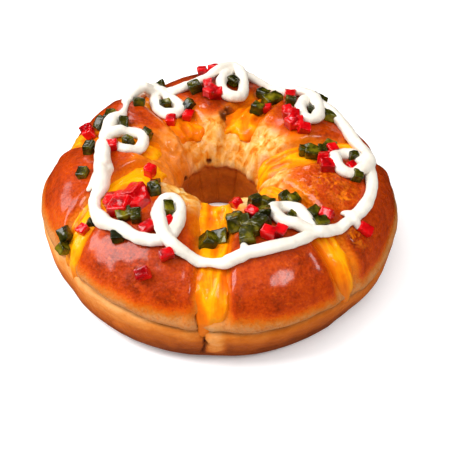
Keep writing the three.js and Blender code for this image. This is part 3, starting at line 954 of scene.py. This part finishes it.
# Extra dice, each by its angle, radius and edge.
CHERRY_DICE = (
    (131, 107, 7),
    (174, 75, 7),
    (36, 66, 8.5),
    (30, 65, 8),
    (24, 66, 7.5),
    (55, 94, 7),
    (92, 68, 7.5),
)
CITRON_DICE = (
    (152, 77, 7),
    (228, 97, 7),
    (213, 99, 7),
    (50, 82, 7),
    (262.5, 72, 10),
    (271.5, 66, 9.5),
    (280.5, 63, 9),
    (284, 77, 8.5),
    (297, 66, 8.5),
    (311.5, 74, 8),
    (119, 79, 7.5),
    (348.5, 95, 7),
)

# A heart of two flat pieces of cherry, each by its outline in angles and radii and its height.
HEART = (
    (((206, 88), (201, 82), (202, 76), (210, 69), (220, 72), (224, 82), (217, 89)), 6),
    (((207, 77), (207, 67), (206, 59), (216, 58), (226, 65), (226, 75), (218, 83)), 5.5),
)
SLAB_TAPER = 0.14
SLAB_SUNK = 2 * MM

rng = np.random.default_rng(6)


def die(angle, radius, edge):
    """A cube cut by hand that lies on the bread."""
    location, normal = on_the_bread(angle, radius)
    sides = edge * MM * (1 + UNEVEN_CUT * rng.uniform(-1, 1, 3))
    bpy.ops.object.select_all(action="DESELECT")
    bpy.ops.mesh.primitive_cube_add(size=1, location=location + normal * LIFT_SHARE * edge * MM)
    cube = bpy.context.object
    cube.scale = sides
    cube.rotation_mode = "QUATERNION"
    tilted = normal + Vector(rng.uniform(-MOST_TILT, MOST_TILT, 3))
    cube.rotation_quaternion = Vector((0, 0, 1)).rotation_difference(tilted)
    bpy.ops.object.transform_apply()
    return cube


def slab(outline, height):
    """A lump with this outline on the bread, a little narrower at its top."""
    feet = [on_the_bread(*place) for place in outline]
    middle = sum((location for location, _ in feet), Vector()) / len(feet)
    up = sum((normal for _, normal in feet), Vector()).normalized()
    bpy.ops.object.select_all(action="DESELECT")
    bpy.ops.mesh.primitive_cylinder_add(vertices=len(outline), radius=1, depth=2, end_fill_type="TRIFAN")
    lump = bpy.context.object
    for vertex in lump.data.vertices:
        x, y, z = vertex.co
        on_the_rim = math.hypot(x, y) > 0.5
        location = middle
        if on_the_rim:
            location, _ = feet[round(math.atan2(y, x) / math.tau * len(feet)) % len(feet)]
            location = location.lerp(middle, SLAB_TAPER if z > 0 else 0.0)
        vertex.co = location + up * (height * MM if z > 0 else -SLAB_SUNK)
    return lump


def candied(kind, name, extra, seed, smoothing, swelling, made_anew=()):
    """All the pieces of a kind, with the nodes that are made anew left to the extra ones."""
    nodes = sorted(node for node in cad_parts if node.startswith(kind))
    dice = copy_of([node for node in nodes if node not in made_anew], name)
    join_into(dice, extra)
    apply_modifier(dice, "REMESH", mode="VOXEL", voxel_size=DIE_VOXEL)
    apply_modifier(dice, "SMOOTH", factor=0.5, iterations=smoothing)
    layer = layers(vertex_rows(dice), (swelling, 6.5, seed), (0.15, 2.5, seed + 1))
    swell(dice, DIE_SWELL + layer)
    smooth_shading(dice)
    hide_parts(*nodes)
    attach(dice, "root")
    return dice


flesh = bpy.data.node_groups.new("candied_flesh", "ShaderNodeTree")
for socket in ("Dark", "Middle", "Light"):
    flesh.interface.new_socket(socket, in_out="INPUT", socket_type="NodeSocketColor")
flesh.interface.new_socket("Colour", in_out="OUTPUT", socket_type="NodeSocketColor")
flesh.interface.new_socket("Normal", in_out="OUTPUT", socket_type="NodeSocketVector")
inside = Nodes(flesh)
given = flesh.nodes.new("NodeGroupInput")
result = flesh.nodes.new("NodeGroupOutput")
clouds = inside.noise(11 * MM, 3, 0.6)
lower = inside.ramp(clouds, (0.34, 0.0), (0.5, 1.0))
upper = inside.ramp(clouds, (0.52, 0.0), (0.74, 1.0))
shaded = inside.mix(lower, given.outputs["Dark"], given.outputs["Middle"])
shaded = inside.mix(upper, shaded, given.outputs["Light"])
cut = inside.bump(inside.noise(3 * MM, 2), 0.6 * MM, 0.6)
cut = inside.bump(inside.noise(1.3 * MM, 3, 0.6), 0.35 * MM, 0.55, cut)
inside.feed(result, Colour=shaded, Normal=cut)


def candied_material(name, dark, middle, light, **values):
    """Flesh under syrup, by its three shades and what sets its shader apart."""
    material, syrup, shader = new_material(
        name, Roughness=0.25, Coat_Roughness=0.07, Specular_IOR_Level=0.25, **values
    )
    node = syrup.nodes.new("ShaderNodeGroup")
    node.node_tree = flesh
    for socket, shade in (("Dark", dark), ("Middle", middle), ("Light", light)):
        node.inputs[socket].default_value = shade
    syrup.feed(shader, Base_Color=node.outputs["Colour"], Normal=node.outputs["Normal"])
    return material


dice = [die(*row) for row in CHERRY_DICE]
heart = [slab(*row) for row in HEART]
cherries = candied("cherry", "candied_cherry", [*dice, *heart], seed=40, smoothing=6, swelling=0.7)
cherries.data.materials.append(
    candied_material(
        "candied_cherry_flesh",
        dark=colour(136, 0, 4),
        middle=colour(200, 2, 8),
        light=colour(226, 14, 20),
        Coat_Weight=0.6,
        Subsurface_Weight=0.35,
        Subsurface_Radius=(1, 0.1, 0.1),
    )
)

# Larger dice take the places of two of the CAD's green lumps, which are left out of the copy.
MADE_ANEW = ("citron_16", "citron_25")

dice = [die(*row) for row in CITRON_DICE]
citrons = candied(
    "citron", "candied_citron", dice, seed=50, smoothing=3, swelling=1.1, made_anew=MADE_ANEW
)
citrons.data.materials.append(
    candied_material(
        "candied_citron_rind",
        dark=colour(20, 20, 1),
        middle=colour(50, 48, 2),
        light=colour(126, 114, 12),
        Coat_Weight=0.5,
        Subsurface_Weight=0.2,
        Subsurface_Radius=(0.6, 1, 0.2),
    )
)

# ---- Floor and light ------------------------------------------------------------------------
# A white studio table, tall window-like softboxes on the left and at the back left, a small
# lamp that glints at the back, a round lamp on the front right and a broad ceiling light.

WHITE = (1, 1, 1, 1)
FLOOR_SIZE = 8
STUDIO_LIGHT = 0.3

bpy.ops.object.select_all(action="DESELECT")
bpy.ops.mesh.primitive_plane_add(size=FLOOR_SIZE, location=(0, 0, 0))
floor = bpy.context.object
floor.name = "floor"
material, _, _ = new_material(
    "white_table",
    Base_Color=colour(250, 250, 250),
    Roughness=0.7,
    Emission_Color=WHITE,
    Emission_Strength=0.15,
)
floor.data.materials.append(material)
floor.visible_glossy = False


def lamp(name, azimuth, elevation, distance, sizes, power, shape="RECTANGLE", mirrored=True):
    """An area lamp that shines at the ring, by its place in degrees and metres."""
    turn, climb = math.radians(azimuth), math.radians(elevation)
    toward = Vector((math.cos(turn) * math.cos(climb), math.sin(turn) * math.cos(climb), math.sin(climb)))
    bpy.ops.object.light_add(type="AREA", location=toward * distance)
    light = bpy.context.object
    light.name = name
    light.rotation_euler = toward.to_track_quat("Z", "Y").to_euler()
    light.data.shape = shape
    light.data.size, light.data.size_y = sizes
    light.data.energy = power
    light.visible_glossy = mirrored


# Each lamp's azimuth and elevation, its distance, its sizes and its power.
lamp("window", 184, 46, 1.2, (0.6, 0.95), 14)
lamp("side_window", 162, 25, 1.2, (0.3, 0.4), 1.8)
lamp("back_window", 112, 28, 1.2, (0.35, 0.35), 1.8)
lamp("glint_lamp", 96, 50, 1.2, (0.1, 0.1), 0.45)
lamp("round_lamp", -43, 52, 1.2, (0.32, 0.32), 2.8, "DISK")
lamp("ceiling", -60, 80, 1.4, (1.4, 1.4), 12.5, mirrored=False)

world = bpy.data.worlds.new("studio")
world.use_nodes = True
background = world.node_tree.nodes["Background"]
background.inputs["Color"].default_value = WHITE
background.inputs["Strength"].default_value = STUDIO_LIGHT
world.cycles_visibility.glossy = False
scene.world = world
scene.view_settings.view_transform = "Standard"
